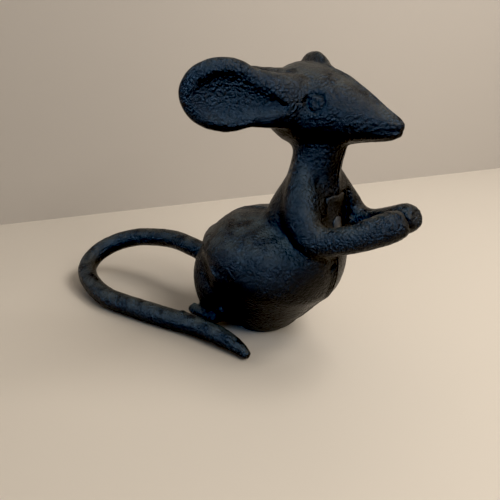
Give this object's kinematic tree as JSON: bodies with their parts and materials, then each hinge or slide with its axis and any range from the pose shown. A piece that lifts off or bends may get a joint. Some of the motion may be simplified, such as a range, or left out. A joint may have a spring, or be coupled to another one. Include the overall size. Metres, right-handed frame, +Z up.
{
  "type": "figural lever nutcracker",
  "caption": "Cast iron mouse figure nutcracker: lifting the tail lever swings a crusher plate out of the chest and presses a nut into the forearms.",
  "frame": {"origin": "centre of the flat seat of the figure, on the surface it stands on", "axes": "+X the way the mouse faces, +Y its left side, +Z up out of the table"},
  "size_m": [0.2189, 0.1049, 0.1505],
  "materials": {
    "black_iron": "black satin paint over rough sand cast iron",
    "steel": "plain turned"
  },
  "bodies": {
    "body": {"body_right_half": "black_iron", "body_left_half": "black_iron", "pivot_pin": "steel", "pivot_washers": "steel", "body_screws": "steel", "dowel_pins": "steel"},
    "lever": {"tail_lever": "black_iron", "crusher_plate": "black_iron", "crusher_rivet": "steel"}
  },
  "joints": [
    {"name": "tail_lift", "type": "hinge", "parent": "body", "child": "lever", "pos_m": [0.018, 0, 0.022], "axis": [0, 1, 0], "range_deg": [0, 15]}
  ]
}
